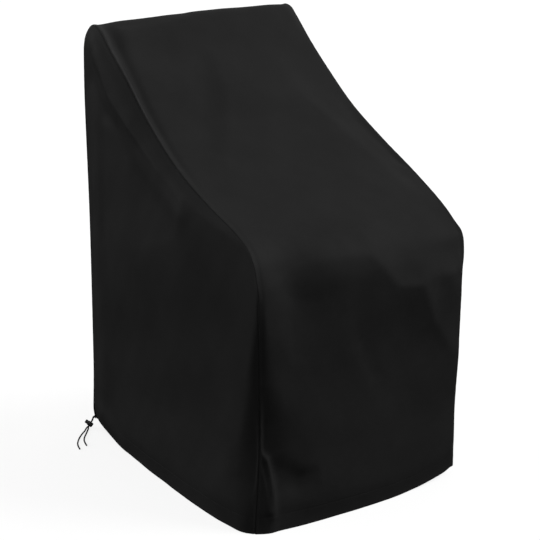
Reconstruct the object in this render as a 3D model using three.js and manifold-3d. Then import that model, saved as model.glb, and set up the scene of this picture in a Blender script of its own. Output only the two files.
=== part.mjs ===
// A fitted weather cover, as it hangs over a stack of garden chairs that isn't part of it.
// Three panels of coated cloth are sewn edge to edge: two sides and one long centre strip.
// A drawcord runs in the hem, and its two ends come out at one corner through a cord lock.
// Millimetres, +Z up. The front faces -Y, and the hem stands on z = 0.
import * as THREE from "three";
import Module from "manifold-3d";
import { mergeVertices } from "three/addons/utils/BufferGeometryUtils.js";

const wasm = await Module();
wasm.setup();

// Driving sizes
const WIDTH = 655; // across the cover, from side seam to side seam
const CLOTH = 2; // thickness of a panel
const HEM = { height: 40, thick: 4 }; // the casing that the drawcord runs in
const GAP = 0.4; // between one piece and the next
const SEAM = { stands: 2.5, wide: 20 }; // how far the sewn edges stand proud, and how broadly
const CORD = 4.5; // diameter of the drawcord

// The side seam, from the front hem over the nose, up the slope and down the back.
// left and right are [inset, y, z, round] of the seam on each side, which don't hang quite alike: inset is
// how far the seam is drawn in from half the width, and round is how broadly the cloth rounds off towards it.
// crown is how far the strip stands proud midway between the seams.
const seamTable = [
  { place: "front foot", left: [-26, -469, 0, 90], right: [-6, -405, 0, 0], crown: 0 },
  { place: "front low", left: [-9, -462, 200, 100], right: [-2, -423, 200, 20], crown: 10 },
  { place: "front middle", left: [-5, -461, 430, 55], right: [2, -433, 420, 10], crown: 7 },
  { place: "front high", left: [-1, -457, 610, 15], right: [5, -435, 590, 0], crown: 7 },
  { place: "under the nose", left: [0, -449, 680, 0], right: [4, -438, 655, 0], crown: 3 },
  { place: "nose", left: [0, -433, 722, 0], right: [2, -427, 698, 0], crown: -2 },
  { place: "over the nose", left: [0, -400, 753, 10], right: [1, -393, 730, 10], crown: 2 },
  { place: "slope foot", left: [0, -345, 779, 10], right: [0, -341, 763, 10], crown: 6 },
  { place: "slope low", left: [0, -224, 818, 10], right: [0, -217, 824, 10], crown: 6 },
  { place: "slope middle", left: [0, -63, 884, 10], right: [0, -65, 890, 10], crown: 6 },
  { place: "slope high", left: [0, 84, 976, 10], right: [0, 82, 962, 10], crown: 3 },
  { place: "slope upper", left: [0, 208, 1077, 12], right: [0, 206, 1045, 10], crown: 3 },
  { place: "slope top", left: [1, 303, 1147, 12], right: [1, 300, 1117, 10], crown: 6 },
  { place: "roof front", left: [5, 358, 1185, 12], right: [4, 362, 1175, 10], crown: 6 },
  { place: "roof middle", left: [8, 398, 1199, 12], right: [3, 402, 1203, 10], crown: 7 },
  { place: "roof corner", left: [8, 431, 1192, 10], right: [5, 431, 1204, 10], crown: 7 },
  { place: "back top", left: [-4, 441, 1162, 10], right: [0, 441, 1174, 10], crown: 6 },
  { place: "back high", left: [-9, 442, 1060, 8], right: [-5, 442, 1060, 0], crown: 5 },
  { place: "back middle", left: [-5, 441, 620, 8], right: [-3, 441, 620, 0], crown: 4 },
  { place: "back low", left: [-8, 441, 200, 12], right: [-3, 441, 200, 10], crown: 2 },
  { place: "back foot", left: [-10, 438, 0, 0], right: [-8, 438, 0, 0], crown: 0 },
];
// A rounded edge: its depth and its width on each panel by its round, and the round at which the sewn edge no
// longer stands proud.
const ROUND = { depth: 0.22, strip: 1.0, side: 0.8, flush: 35 };

// How far each side of the hem bows out between its corners.
// lead moves the fullest place towards the first corner, and blunt squares the bow off.
const hemBow = {
  left: { out: 23.5, lead: 0.58, blunt: 1 },
  right: { out: 40.4, lead: 0.7, blunt: 0.9 },
  front: { out: 25, lead: 1.16, blunt: 0.56 },
  back: { out: 40, lead: 1, blunt: 0.7 },
};
const BOW_FADE = 1.3; // how quickly the strip's bow dies out above the hem

// The drawcord gathers the corners and lifts them off the ground.
const cornerLifts = [
  { corner: "front right", x: 331, y: -402, lift: 18, spread: 130 },
  { corner: "front right tip", x: 336, y: -398, lift: 8, spread: 30 },
  { corner: "back left", x: -337, y: 438, lift: 28, spread: 145 },
  { corner: "back right", x: 335, y: 438, lift: 14, spread: 90 },
];
const LIFT_FADE = 320;
const NEAREST = 1e-3; // the least distance from a fold's line, in the working out of its nearest leg
const LEG_FADE = 8; // how quickly the further legs of a fold's line count for less

// Folds, each on the line through the points of along. On a side, a point is [y, z]; on the strip it is
// [x, run], where run is the length of cloth from the front hem. wide and high are its half widths and heights,
// spread evenly along the line, and a height below 0 is a trough. lee is how much broader the fold is on the
// left of its line. crest is how roundly a crease turns on the line, or 0 for a soft fold.
const folds = {
  left: [
    { fold: "ridge below the seam", wide: [26, 34], high: [4, 8, 9, 8, 6, 8], lee: 1.2, crest: 0,
      along: [[356, 1114], [287, 1041], [230, 986], [168, 947], [118, 897], [-125, 787]] },
    { fold: "shoulder below the seam", wide: [24], high: [2, 5, 7, 7, 5], lee: 0.9, crest: 0,
      along: [[4, 872], [89, 923], [214, 1021], [306, 1097], [387, 1151]] },
    { fold: "trough under the roof", wide: [25, 23], high: [-3, -6, -1], lee: 1, crest: 0,
      along: [[389, 1045], [317, 969], [208, 942]] },
    { fold: "tent over the arm", wide: [165], high: [10, 14, 16, 15], lee: 3, crest: 0,
      along: [[-14, 780], [-110, 725], [-101, 614], [-62, 461]] },
    { fold: "under the tent", wide: [150], high: [13, 17, 10], lee: 1.3, crest: 0,
      along: [[-85, 670], [110, 611], [223, 562]] },
    { fold: "back edge", wide: [44, 50], high: [4, 7, 7, 6], lee: 0.9, crest: 0,
      along: [[370, 1000], [366, 800], [358, 500], [356, 146]] },
    { fold: "hem's last gather", wide: [40, 26], high: [8, 4], lee: 1, crest: 0,
      along: [[353, 50], [228, 20]] },
    { fold: "pull to the corner", wide: [26, 50, 72], high: [-2, -10, -14, -5], lee: 1, crest: 0,
      along: [[-440, 340], [-436, 190], [-425, 20]] },
  ],
  right: [
    { fold: "tent over the arm", wide: [55, 40], high: [5, 4], lee: 1, crest: 0,
      along: [[-30, 770], [90, 630], [200, 540]] },
    { fold: "arm", wide: [50, 40], high: [4, 1], lee: 1, crest: 0,
      along: [[-30, 770], [-330, 690]] },
    { fold: "back edge", wide: [18, 22], high: [2, 3], lee: 1, crest: 0,
      along: [[405, 980], [405, 260]] },
  ],
  strip: [
    { fold: "edge of the seat", wide: [215, 190, 172, 148, 200], high: [10, 15, 24, 25, 26, 25, 27, 22],
      lee: 0.6, crest: 5,
      along: [[-229, 686], [-158, 702], [-54, 697], [11, 691], [88, 605], [167, 595], [206, 494], [282, 392]] },
    { fold: "left of the seat", wide: [52, 44, 18], high: [-17, -11, 0], lee: 1.7, crest: 0,
      along: [[-245, 689], [-218, 608], [-226, 450]] },
    { fold: "right of the seat", wide: [120], high: [15, 25, 16], lee: 0.32, crest: 0,
      along: [[223, 606], [271, 602], [324, 615]] },
    { fold: "drag across the front", wide: [28, 22], high: [0, -3, -2], lee: 1.5, crest: 0,
      along: [[-50, 610], [-20, 470], [15, 380]] },
    { fold: "right of the slope", wide: [195], high: [4, 11, 12, 11, 11, 11, -4], lee: 0.25, crest: 0,
      along: [[156, 1422], [175, 1297], [198, 1198], [217, 1100], [227, 1000], [232, 898], [256, 792]] },
    { fold: "beside the right seam", wide: [16], high: [0, -2, -3], lee: 1, crest: 0,
      along: [[298, 1400], [300, 1200], [310, 1000]] },
    { fold: "rise in the slope", wide: [30, 52, 52, 52, 52, 52], high: [2, 15, 17, 14, 11, 8],
      lee: 4.5, crest: 0,
      along: [[-14, 1560], [-40, 1403], [-58, 1345], [-103, 1264], [-135, 1196], [-172, 1145]] },
    { fold: "left shoulder", wide: [34, 18], high: [3, 0], lee: 1, crest: 0,
      along: [[-270, 1650], [-282, 1480]] },
    { fold: "under the roof's edge", wide: [22, 18], high: [-4, -3], lee: 1, crest: 0,
      along: [[-250, 1672], [-30, 1694]] },
    { fold: "outer gather", wide: [8, 10, 11, 11, 12], high: [6, 8, 8, 6, 3], lee: 1, crest: 0,
      along: [[-331, 214], [-312, 196], [-298, 150], [-297, 100], [-293, 45]] },
    { fold: "valley by the gather", wide: [15], high: [-4, -11, -10, -3], lee: 3, crest: 0,
      along: [[-293, 203], [-283, 157], [-267, 108], [-274, 60]] },
    { fold: "pocket by the gather", wide: [64, 40], high: [-9, -15, 0], lee: 0.6, crest: 0,
      along: [[-262, 160], [-216, 130], [-155, 140]] },
    { fold: "hollow by the front seam", wide: [30, 85, 100], high: [-1, -11, -9, -2], lee: 1, crest: 0,
      along: [[-330, 400], [-318, 240], [-315, 60]] },
  ],
};

// Rows and columns of a panel: lengths from its edges, with even steps between.
const NEAR_HEM = [0, HEM.height - 2, HEM.height + 3, 62, 84, 108, 134, 162, 192, 224];
const NEAR_SEAM = [0, 7, 14, 24];
const NEAR_SIDES = [0, 7, 14, 24, 36, 50, 68]; // across the strip
const UPRIGHT_STEPS = 15; // up the front and the back edges
const SLOPE_STEPS = 20; // from the nose to the roof corner
const ACROSS_STEPS = 10;
const SEAM_SAMPLES = 50; // for measuring a seam, between one row of its table and the next
const ROUND_SIDES = 20; // of the cord lock
const CORD_SIDES = 8;
const CORD_STEP = 1.6 * CORD;

// Lengths along an edge: those of start, even steps, and those of end, counted back from the far end.
function stations(length, start, steps, end) {
  const first = start[start.length - 1];
  const last = length - end[end.length - 1];
  const between = [];
  for (let k = 1; k < steps; k++) between.push(first + ((last - first) * k) / steps);
  return [...start, ...between, ...end.map((back) => length - back).reverse()];
}

// A seam as a smooth curve. hand is -1 for the left side and 1 for the right.
function seamCurve(side, hand) {
  const points = seamTable.map((row) => {
    const [inset, y, z] = row[side];
    return new THREE.Vector3(hand * (WIDTH / 2 - inset), y, z);
  });
  const curve = new THREE.CatmullRomCurve3(points, false, "centripetal");
  curve.arcLengthDivisions = (seamTable.length - 1) * SEAM_SAMPLES;
  return curve;
}

// The seam's round and the strip's crown along the same places, as a curve's y and z.
function formCurve(side) {
  return new THREE.CatmullRomCurve3(seamTable.map((row, i) => new THREE.Vector3(i, row[side][3], row.crown)));
}

// The stations of one seam, cut at the nose and the roof corner. front and back are listed from the hem up.
function seamStations(side, hand) {
  const curve = seamCurve(side, hand);
  const form = formCurve(side);
  const lengths = curve.getLengths();
  const total = curve.getLength();
  const lengthTo = (place) => lengths[SEAM_SAMPLES * seamTable.findIndex((row) => row.place === place)];
  const [nose, roof] = [lengthTo("nose"), lengthTo("roof corner")];
  const at = (length) => {
    const share = curve.getUtoTmapping(length / total);
    const { y: round, z: crown } = form.getPoint(share);
    return { run: length, crown, round, point: curve.getPoint(share), tangent: curve.getTangent(share) };
  };
  return {
    nose,
    roof,
    total,
    front: stations(nose, NEAR_HEM, UPRIGHT_STEPS, NEAR_SEAM).map(at),
    slope: stations(roof - nose, NEAR_SEAM, SLOPE_STEPS, NEAR_SEAM).map((length) => at(nose + length)),
    back: stations(total - roof, NEAR_HEM, UPRIGHT_STEPS, NEAR_SEAM).map((length) => at(total - length)),
  };
}

function bow({ out, lead, blunt }, share) {
  return out * Math.max(0, Math.sin(Math.PI * share ** lead)) ** blunt;
}

// The value at a share of a line that the values are spread evenly along.
function spread(values, share) {
  const at = share * (values.length - 1);
  const k = Math.min(Math.floor(at), values.length - 2);
  return values.length > 1 ? THREE.MathUtils.lerp(values[k], values[k + 1], at - k) : values[0];
}

// Where a place is beside a line of points: how far away, at what share of the line, and how far round to its
// left, from -1 to 1. The nearest leg of the line counts for most.
function beside(along, a, b) {
  const legs = [];
  for (let k = 0; k + 1 < along.length; k++) {
    const [[fromA, fromB], [toA, toB]] = [along[k], along[k + 1]];
    const [da, db] = [toA - fromA, toB - fromB];
    const part = THREE.MathUtils.clamp(((a - fromA) * da + (b - fromB) * db) / (da * da + db * db), 0, 1);
    const [offA, offB] = [a - fromA - part * da, b - fromB - part * db];
    const away = Math.hypot(offA, offB) + NEAREST;
    const left = (da * offB - db * offA) / (Math.hypot(da, db) * away);
    legs.push({ away, share: (k + part) / (along.length - 1), left });
  }
  const nearest = Math.min(...legs.map((leg) => leg.away));
  const counts = legs.map((leg) => (nearest / leg.away) ** LEG_FADE);
  const sum = counts.reduce((total, count) => total + count, 0);
  const mean = (key) => legs.reduce((total, leg, k) => total + counts[k] * leg[key], 0) / sum;
  return { away: mean("away"), share: mean("share"), left: mean("left") };
}

// The height of a panel's folds at one place of it.
function foldHeight(table, a, b) {
  let height = 0;
  for (const { along, wide, high, lee, crest } of table) {
    const { away, share, left } = beside(along, a, b);
    const width = spread(wide, share) * THREE.MathUtils.lerp(1, lee, (1 + left) / 2);
    const sharp = Math.exp((crest - Math.hypot(away, crest)) / width);
    height += spread(high, share) * (crest > 0 ? sharp : Math.exp(-((away / width) ** 2)));
  }
  return height;
}

// A soft shape beside a seam: 1 at the seam, and 0 where it ends.
function fade(away, wide) {
  return wide > 0 ? THREE.MathUtils.smoothstep(1 - away / wide, 0, 1) : 0;
}

// How far a panel stands proud beside a seam: its sewn edge does, on a corner that is rounded off.
function edge(away, round, wide) {
  const r = Math.max(0, round);
  const stands = SEAM.stands * Math.max(0, 1 - r / ROUND.flush) * fade(away, SEAM.wide);
  return r > 0 ? stands - ROUND.depth * r * Math.max(0, 1 - away / (wide * r)) ** 2 : stands;
}

// The strip's outward direction at a station: square to the way the cloth runs.
function outwards(tangent) {
  return new THREE.Vector3(0, -tangent.z, tangent.y).normalize();
}

// The corners of the hem lift off the ground, and the cloth above them with it. The rest of it stands there.
function lifted(point) {
  point.z = Math.max(point.z, 0);
  for (const { x, y, lift, spread } of cornerLifts) {
    const near = Math.exp(-((Math.hypot(point.x - x, point.y - y) / spread) ** 2));
    point.z += lift * near * Math.max(0, 1 - point.z / LIFT_FADE);
  }
  return point;
}

function thickness(aboveHem) {
  return aboveHem < HEM.height ? HEM.thick : CLOTH;
}

// A closed sheet from two grids of points of the same size, its outer face and its inner one.
function sheet(outer, inner) {
  const [rows, columns] = [outer.length, outer[0].length];
  const at = (face, i, j) => (face * rows + i) * columns + j;
  const index = [];
  const quad = (a, b, c, d) => index.push(a, b, c, a, c, d);
  for (let i = 0; i + 1 < rows; i++) {
    for (let j = 0; j + 1 < columns; j++) {
      quad(at(0, i, j), at(0, i, j + 1), at(0, i + 1, j + 1), at(0, i + 1, j));
      quad(at(1, i, j), at(1, i + 1, j), at(1, i + 1, j + 1), at(1, i, j + 1));
    }
    quad(at(0, i, 0), at(0, i + 1, 0), at(1, i + 1, 0), at(1, i, 0));
    quad(at(0, i + 1, columns - 1), at(0, i, columns - 1), at(1, i, columns - 1), at(1, i + 1, columns - 1));
  }
  for (let j = 0; j + 1 < columns; j++) {
    quad(at(0, 0, j + 1), at(0, 0, j), at(1, 0, j), at(1, 0, j + 1));
    quad(at(0, rows - 1, j), at(0, rows - 1, j + 1), at(1, rows - 1, j + 1), at(1, rows - 1, j));
  }
  const geometry = new THREE.BufferGeometry();
  const points = [...outer.flat(), ...inner.flat()];
  geometry.setFromPoints(points);
  geometry.setIndex(index);
  geometry.computeVertexNormals();
  return geometry;
}

const seams = { left: seamStations("left", -1), right: seamStations("right", 1) };

// The centre strip: front, slope, roof and back in one length, between the two side panels.
function stripGeometry() {
  const listed = ({ front, slope, back }) => [...front, ...slope.slice(1), ...back.slice(0, -1).reverse()];
  const [left, right] = [listed(seams.left), listed(seams.right)];
  const outer = [];
  const inner = [];
  left.forEach((l, i) => {
    const r = right[i];
    const upFront = l.run / seams.left.nose;
    const upBack = (seams.left.total - l.run) / (seams.left.total - seams.left.roof);
    const aboveHem = Math.min(l.run, seams.left.total - l.run);
    const thick = thickness(aboveHem);
    const [from, to] = [l.point.clone(), r.point.clone()];
    from.x += thick + GAP;
    to.x -= thick + GAP;
    const width = to.x - from.x;
    const outerRow = [];
    const innerRow = [];
    for (const across of stations(width, NEAR_SIDES, ACROSS_STEPS, NEAR_SIDES)) {
      const share = across / width;
      const out = outwards(l.tangent.clone().lerp(r.tangent, share));
      const point = from.clone().lerp(to, share);
      let proud = l.crown * (1 - (2 * share - 1) ** 2);
      if (upFront < 1) proud += bow(hemBow.front, share) * (1 - upFront) ** BOW_FADE;
      if (upBack < 1) proud += bow(hemBow.back, share) * (1 - upBack) ** BOW_FADE;
      const free = 1 - fade(Math.min(across, width - across), SEAM.wide);
      proud += free * foldHeight(folds.strip, point.x, THREE.MathUtils.lerp(l.run, r.run, share));
      const leftEdge = edge(across, l.round, ROUND.strip);
      const rightEdge = edge(width - across, r.round, ROUND.strip);
      point.addScaledVector(out, proud + leftEdge + rightEdge);
      point.x += rightEdge - leftEdge;
      innerRow.push(lifted(point.clone().addScaledVector(out, -thick)));
      outerRow.push(lifted(point));
    }
    outer.push(outerRow);
    inner.push(innerRow);
  });
  return sheet(outer, inner);
}

// A side panel, stretched between its front edge, its slope, its back edge and the bowed hem.
function sideGeometry(side, hand) {
  const { front, slope, back, nose } = seams[side];
  const seam = [...front, ...slope, ...back];
  const [frontFoot, backFoot] = [front[0].point, back[0].point];
  const [noseTip, roofCorner] = [slope[0].point, slope[slope.length - 1].point];
  const slopeLength = slope[slope.length - 1].run - nose;
  const outer = [];
  const inner = [];
  slope.forEach((top) => {
    const along = (top.run - nose) / slopeLength;
    const hem = frontFoot.clone().lerp(backFoot, along);
    hem.x += hand * bow(hemBow[side], along);
    const outerRow = [];
    const innerRow = [];
    front.forEach((low, j) => {
      const up = low.run / nose;
      const point = hem.clone().multiplyScalar(1 - up);
      point.addScaledVector(top.point, up);
      point.addScaledVector(low.point, 1 - along).addScaledVector(back[j].point, along);
      point.addScaledVector(frontFoot, -(1 - along) * (1 - up)).addScaledVector(backFoot, -along * (1 - up));
      point.addScaledVector(noseTip, -(1 - along) * up).addScaledVector(roofCorner, -along * up);
      let nearest = seam[0];
      for (const place of seam) {
        if (place.point.distanceToSquared(point) < nearest.point.distanceToSquared(point)) nearest = place;
      }
      const seamAway = Math.abs(nearest.point.clone().sub(point).dot(outwards(nearest.tangent)));
      const free = 1 - fade(seamAway, SEAM.wide);
      const fold = free * foldHeight(folds[side], point.y, point.z);
      const proud = edge(seamAway, nearest.round, ROUND.side);
      point.addScaledVector(outwards(nearest.tangent), proud);
      point.x += hand * (proud + fold);
      innerRow.push(lifted(point.clone().setX(point.x - hand * thickness(low.run))));
      outerRow.push(lifted(point));
    });
    outer.push(outerRow);
    inner.push(innerRow);
  });
  return hand < 0 ? sheet(outer, inner) : sheet(outer.reverse(), inner.reverse());
}

// The two ends of the drawcord, from the hem's back left corner through the lock and along the ground.
const lock = {
  centre: new THREE.Vector3(-352, 444.5, 12.1), // where the cords cross it
  axis: new THREE.Vector3(-0.62, 0.52, 0.58).normalize(), // from the barrel to the button
  cordWay: new THREE.Vector3(-0.76, -0.16, -0.63).normalize(),
  barrel: { radius: 7, length: 16, wall: 1.4, edge: 1.2, cordsAt: 9 },
  button: { radius: 5.6, stands: 9.5, inside: 11, rim: 1.5 },
  hole: { across: 10.3, along: 5.9, corner: 2.2 },
  travel: 3,
};
const lockAcross = new THREE.Vector3().crossVectors(lock.axis, lock.cordWay).normalize();
lock.cordWay.crossVectors(lockAcross, lock.axis).normalize();

const STRAIGHT = 6.5; // how far the cords run straight, each way from the lock's axis
const CORD_PITCH = CORD + 0.6; // between the two cords where they run together
const groundZ = CORD / 2 + 1; // the middle of a cord on the ground
const hemExit = {
  place: new THREE.Vector3(-341, 443, 31),
  way: new THREE.Vector3(-1.5, 2.5, -7), // to the next point of the cords
};

// The loose run of each end past the lock, as [x, y] on the ground.
const looseRuns = {
  cord_end_long: [
    [-367, 439], [-380, 423], [-402, 401], [-428, 369], [-444, 343], [-452, 322], [-457, 303],
  ],
  cord_end_short: [
    [-363, 434], [-375, 417], [-389, 398], [-404, 378], [-415, 359], [-422, 340], [-428, 317],
  ],
};

// Where the two cords leave the hem they lie beside each other, square to their way out.
const exitAcross = lockAcross.clone().projectOnPlane(hemExit.way.clone().normalize()).normalize();

function cordGeometry(name, hand) {
  const beside = lockAcross.clone().multiplyScalar((hand * CORD_PITCH) / 2);
  const through = (along) => lock.centre.clone().addScaledVector(lock.cordWay, along).add(beside);
  const start = hemExit.place.clone().addScaledVector(exitAcross, (hand * CORD_PITCH) / 2);
  const ground = looseRuns[name].map(([x, y]) => new THREE.Vector3(x, y, groundZ));
  const inLock = [-STRAIGHT, 0, STRAIGHT].map(through);
  const route = [start, start.clone().add(hemExit.way), ...inLock, ...ground];
  const path = new THREE.CatmullRomCurve3(route, false, "centripetal");
  const section = new THREE.Shape();
  for (let k = 0; k < CORD_SIDES; k++) {
    const turn = (2 * Math.PI * (k + 0.5)) / CORD_SIDES;
    const corner = [(CORD / 2) * Math.cos(turn), (CORD / 2) * Math.sin(turn)];
    if (k === 0) section.moveTo(...corner);
    else section.lineTo(...corner);
  }
  section.closePath();
  const steps = Math.round(path.getLength() / CORD_STEP);
  return new THREE.ExtrudeGeometry(section, { steps, extrudePath: path, bevelEnabled: false });
}

// A geometry as a solid, cut by another, and back as a geometry.
function cut(geometry, cutter) {
  const solid = (source) => {
    const bare = new THREE.BufferGeometry();
    bare.setAttribute("position", source.getAttribute("position"));
    bare.setIndex(source.index);
    const merged = mergeVertices(bare, 1e-3);
    const vertProperties = merged.attributes.position.array;
    return new wasm.Manifold(new wasm.Mesh({ numProp: 3, vertProperties, triVerts: merged.index.array }));
  };
  const mesh = solid(geometry).subtract(solid(cutter)).getMesh();
  const made = new THREE.BufferGeometry();
  made.setAttribute("position", new THREE.BufferAttribute(mesh.vertProperties, 3));
  made.setIndex(new THREE.BufferAttribute(mesh.triVerts, 1));
  const faceted = made.toNonIndexed();
  faceted.computeVertexNormals();
  return faceted;
}

// The slot for the cords, through the lock across its axis, from low to high along it.
function slotCutter(low, high) {
  const { corner, across } = lock.hole;
  const half = across / 2 - corner;
  const shape = new THREE.Shape();
  shape.absarc(half, high - corner, corner, 0, Math.PI / 2);
  shape.absarc(-half, high - corner, corner, Math.PI / 2, Math.PI);
  shape.absarc(-half, low + corner, corner, Math.PI, 1.5 * Math.PI);
  shape.absarc(half, low + corner, corner, 1.5 * Math.PI, 2 * Math.PI);
  const depth = 3 * lock.barrel.radius;
  const cutter = new THREE.ExtrudeGeometry(shape, { depth, bevelEnabled: false, curveSegments: 4 });
  return cutter.translate(0, 0, -depth / 2);
}

// Turned about the lock's axis, with the cords' slot cut through.
function turned(profile, slotLow, slotHigh) {
  const points = profile.map(([x, y]) => new THREE.Vector2(x, y));
  return cut(new THREE.LatheGeometry(points, ROUND_SIDES), slotCutter(slotLow, slotHigh));
}

// The lock's own frame: its axis is +Y from the closed end of the barrel, and the cords cross along Z.
const slotLow = lock.barrel.cordsAt - lock.hole.along / 2;
const slotHigh = lock.barrel.cordsAt + lock.hole.along / 2;

function barrelGeometry() {
  const { radius, length, wall, edge: bevel } = lock.barrel;
  const bore = lock.button.radius + GAP;
  const profile = [
    [0, 0],
    [radius - 2 * bevel, 0],
    [radius - bevel / 2, bevel / 2],
    [radius, 2 * bevel],
    [radius, length - bevel],
    [radius - bevel / 2, length],
    [bore, length],
    [bore, wall],
    [0, wall],
  ];
  return turned(profile, slotLow, slotHigh);
}

function buttonGeometry() {
  const { radius, stands, inside, rim } = lock.button;
  const low = lock.barrel.length - inside;
  const high = lock.barrel.length + stands;
  const profile = [
    [0, low],
    [radius, low],
    [radius, high - 2 * rim],
    [radius - 0.3 * rim, high - rim],
    [radius - rim, high - 0.3 * rim],
    [radius - 2 * rim, high],
    [0, high],
  ];
  return turned(profile, slotLow, slotHigh + lock.travel);
}

const finishes = {
  strip: new THREE.MeshStandardMaterial({ color: 0x1b1b1c, roughness: 0.62 }),
  sides: new THREE.MeshStandardMaterial({ color: 0x171718, roughness: 0.62 }),
  cord: new THREE.MeshStandardMaterial({ color: 0x0e0e0e, roughness: 0.8 }),
  lock: new THREE.MeshStandardMaterial({ color: 0x0b0b0b, roughness: 0.4 }),
};

const cover = new THREE.Group();
const lockGroup = new THREE.Group();
const lockFrame = new THREE.Matrix4().makeBasis(lockAcross, lock.axis, lock.cordWay);
lockGroup.quaternion.setFromRotationMatrix(lockFrame);
lockGroup.position.copy(lock.centre).addScaledVector(lock.axis, -lock.barrel.cordsAt);
cover.add(lockGroup);

function place(name, geometry, finish, group = cover) {
  const mesh = new THREE.Mesh(geometry, finish);
  mesh.name = name;
  group.add(mesh);
}

place("centre_strip", stripGeometry(), finishes.strip);
place("side_left", sideGeometry("left", -1), finishes.sides);
place("side_right", sideGeometry("right", 1), finishes.sides);
place("cord_end_long", cordGeometry("cord_end_long", -1), finishes.cord);
place("cord_end_short", cordGeometry("cord_end_short", 1), finishes.cord);
place("lock_barrel", barrelGeometry(), finishes.lock, lockGroup);
place("lock_button", buttonGeometry(), finishes.lock, lockGroup);

export default cover;
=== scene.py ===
"""A fitted weather cover of black coated cloth, as it hangs, with its drawcord's two ends and their lock."""
import math

import bmesh
import bpy
import numpy as np
from mathutils import Matrix, Vector


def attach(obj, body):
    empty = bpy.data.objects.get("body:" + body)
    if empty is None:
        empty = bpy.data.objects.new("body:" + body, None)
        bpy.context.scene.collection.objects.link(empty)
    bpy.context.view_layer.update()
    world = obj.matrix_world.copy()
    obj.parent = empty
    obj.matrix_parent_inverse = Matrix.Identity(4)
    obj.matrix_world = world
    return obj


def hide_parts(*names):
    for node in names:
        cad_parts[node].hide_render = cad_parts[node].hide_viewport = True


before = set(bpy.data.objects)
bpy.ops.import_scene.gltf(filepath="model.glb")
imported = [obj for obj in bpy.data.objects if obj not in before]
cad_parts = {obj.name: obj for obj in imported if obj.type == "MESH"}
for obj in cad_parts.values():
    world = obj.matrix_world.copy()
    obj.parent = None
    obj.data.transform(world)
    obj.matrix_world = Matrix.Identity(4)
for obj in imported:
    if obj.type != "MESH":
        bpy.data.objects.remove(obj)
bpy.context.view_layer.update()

# The camera stands in front of the cover's left side, a little above its top, where the photo was taken.
# The angles, the distance and the lens were solved from the cover's own edges.
camera_azimuth, camera_elevation = math.radians(-32.59), math.radians(16.53)
camera_back = Vector((
    math.sin(camera_azimuth) * math.cos(camera_elevation),
    -math.cos(camera_azimuth) * math.cos(camera_elevation),
    math.sin(camera_elevation),
))
camera = bpy.data.objects.new("camera", bpy.data.cameras.new("camera"))
camera.location = Vector((-0.003, 0, 0.543)) + 5 * camera_back
camera.rotation_euler = camera_back.to_track_quat("Z", "Y").to_euler()
camera.data.sensor_width = 36
camera.data.lens = 119.9
bpy.context.scene.collection.objects.link(camera)
bpy.context.scene.camera = camera


# The cord lock is a barrel of black moulded plastic with a sprung button in its open end. Both are slotted
# across, and the spring grips the two cords between the slots' edges until a thumb presses the button in.
# From here on the sizes are in millimetres and become metres in each mesh.
MM = 0.001
CORD = 4.5
CORD_PITCH = CORD + 0.6  # between the two cords where they run together
lock_centre = Vector((-352, 444.5, 12.1))  # where the cords cross it
lock_axis = Vector((-0.62, 0.52, 0.58)).normalized()  # from the barrel to the button
lock_across = lock_axis.cross(Vector((-0.76, -0.16, -0.63))).normalized()
cord_way = lock_across.cross(lock_axis)
CORDS_AT = 9  # how far up the barrel the cords cross it
lock_slot = {"across": 10.3, "along": 5.9, "corner": 2.2, "through": 30}
BUTTON_TRAVEL = 3

# Both profiles are (radius, height above the barrel's closed end).
barrel_profile = [
    (0, 0), (4, 0), (5.4, 0.25), (6.3, 0.9), (6.8, 1.9), (7, 3.2), (7, 4.2), (6.85, 4.6), (6.85, 5),
    (7, 5.4), (7, 13), (6.85, 13.4), (6.85, 13.8), (7, 14.2), (7, 15.2), (6.8, 15.75), (6.4, 16),
    (6.1, 15.9), (5.95, 15.6), (5.95, 1.4), (0, 1.4),
]
button_profile = [
    (0, 5), (5.6, 5), (5.6, 22.6), (5.45, 23.6), (5, 24.5), (4.2, 25.1), (3.2, 25.4), (1.6, 25.1), (0, 25),
]


class Shade:
    """An output of a material's nodes. Reckoning with it adds Math nodes, and node adds any other."""

    def __init__(self, tree, socket=None):
        self.tree, self.socket = tree, socket

    def node(self, kind, settings=(), sockets=(), out=0):
        node = self.tree.nodes.new("ShaderNode" + kind)
        for name, value in dict(settings).items():
            if name == "stops":
                stops = node.color_ramp.elements
                while len(stops) < len(value):
                    stops.new(1)
                for stop, (position, colour) in zip(stops, value):
                    stop.position, stop.color = position, colour
            else:
                setattr(node, name, value)
        for name, value in dict(sockets).items():
            if isinstance(value, Shade):
                self.tree.links.new(value.socket, node.inputs[name])
            else:
                node.inputs[name].default_value = value
        return Shade(self.tree, node.outputs[out] if node.outputs else None)

    def maths(self, operation, *values):
        return self.node("Math", {"operation": operation}, dict(enumerate(values)))

    def __add__(self, other):
        return self.maths("ADD", self, other)

    def __radd__(self, other):
        return self.maths("ADD", other, self)

    def __sub__(self, other):
        return self.maths("SUBTRACT", self, other)

    def __rsub__(self, other):
        return self.maths("SUBTRACT", other, self)

    def __mul__(self, other):
        return self.maths("MULTIPLY", self, other)

    def __rmul__(self, other):
        return self.maths("MULTIPLY", other, self)

    def __abs__(self):
        return self.maths("ABSOLUTE", self)


def grey(value):
    return value, value, value, 1


def finish_of(name, make, **constants):
    """A material. make gives its colour, roughness and normal, and constants what is the same all over."""
    material = bpy.data.materials.new(name)
    material.use_nodes = True
    material.node_tree.nodes.clear()
    shade = Shade(material.node_tree)
    colour, roughness, normal = make(shade)
    sockets = {"Base Color": colour, "Roughness": roughness, "Normal": normal}
    sockets |= {socket.replace("_", " "): value for socket, value in constants.items()}
    shader = shade.node("BsdfPrincipled", sockets=sockets)
    shade.node("OutputMaterial", sockets={"Surface": shader})
    return material


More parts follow.
